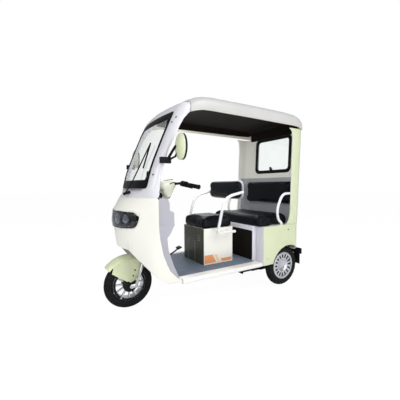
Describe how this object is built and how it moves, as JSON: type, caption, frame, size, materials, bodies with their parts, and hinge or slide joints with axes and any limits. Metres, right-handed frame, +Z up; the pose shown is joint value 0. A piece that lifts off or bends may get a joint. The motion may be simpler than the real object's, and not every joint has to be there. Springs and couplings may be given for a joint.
{
  "type": "passenger electric tricycle",
  "caption": "Open-sided electric passenger tricycle with a roofed cabin, driver's seat box, rear bench, steered front wheel and sprung rear axle.",
  "frame": {"origin": "on the ground, midway along the length and width", "axes": "+Z up, +Y to the rear, -Y forwards, +X to the vehicle's left"},
  "size_m": [1.1704, 1.9509, 1.7649],
  "materials": {
    "cream_shell": "gloss moulding",
    "pale_green": "gloss moulding",
    "light_grey": "satin moulding",
    "mid_grey": "grained moulding",
    "black_plastic": "grained moulding",
    "black_steel": "semi-gloss paint",
    "bright_steel": "plated",
    "alloy": "bright cast",
    "tyre": "matt",
    "mat": "ribbed sheet",
    "black_rubber": "matt",
    "black_leather": "grained artificial leather",
    "white_tube": "gloss powder coat",
    "box_cream": "gloss paint",
    "clear_glass": "clear",
    "lamp_lens": "smoked lens",
    "red_lens": "clear red lens",
    "liner": "felt",
    "cell_pack": "moulded case"
  },
  "bodies": {
    "body": {"chassis": "black_steel", "rear_axle": "black_steel", "leaf_springs": "black_steel", "battery": "cell_pack", "floor": "cream_shell", "floor_mat": "mat", "fairing": "cream_shell", "headlamp": "lamp_lens", "wheel_house": "black_plastic", "leg_shield": "light_grey", "windscreen_frame": "light_grey", "windscreen_border": "black_rubber", "windscreen": "clear_glass", "wiper": "black_plastic", "roof": "light_grey", "roof_liner": "liner", "rear_shell": "cream_shell", "rear_trim": "mid_grey", "rear_window_seal": "black_rubber", "rear_window": "clear_glass", "rear_body": "pale_green", "rear_bumper": "black_plastic", "tail_lamps": "red_lens", "mud_flaps": "black_rubber", "bench_base": "light_grey", "bench_cushion": "black_leather", "bench_backrest": "black_leather", "rear_armrests": "white_tube", "seat_box": "box_cream", "driver_backrest": "black_leather", "driver_armrests": "white_tube", "brake_pedal": "black_steel", "mirrors": "pale_green"},
    "steering": {"fork": "black_steel", "fork_sliders": "bright_steel", "front_brake": "black_steel", "front_mudguard": "pale_green", "handlebar": "black_steel", "controls": "black_plastic", "instrument_pod": "cream_shell"},
    "front_wheel": {"front_tyre": "tyre", "front_rim": "alloy"},
    "rear_wheel_left": {"rear_tyre_left": "tyre", "rear_rim_left": "alloy"},
    "rear_wheel_right": {"rear_tyre_right": "tyre", "rear_rim_right": "alloy"},
    "seat_lid": {"driver_cushion": "black_leather"}
  },
  "joints": [
    {"name": "steer", "type": "hinge", "parent": "body", "child": "steering", "pos_m": [0, -0.7195, 0.205], "axis": [0, 0.3256, 0.9455], "range_deg": [-40, 40]},
    {"name": "front_wheel_spin", "type": "hinge", "parent": "steering", "child": "front_wheel", "pos_m": [0, -0.7705, 0.205], "axis": [1, 0, 0], "continuous": true},
    {"name": "rear_left_spin", "type": "hinge", "parent": "body", "child": "rear_wheel_left", "pos_m": [0.318, 0.7355, 0.205], "axis": [1, 0, 0], "continuous": true},
    {"name": "rear_right_spin", "type": "hinge", "parent": "body", "child": "rear_wheel_right", "pos_m": [-0.318, 0.7355, 0.205], "axis": [1, 0, 0], "continuous": true},
    {"name": "seat_lid_lift", "type": "hinge", "parent": "body", "child": "seat_lid", "pos_m": [0, -0.1405, 0.639], "axis": [1, 0, 0], "range_deg": [0, 55]}
  ]
}
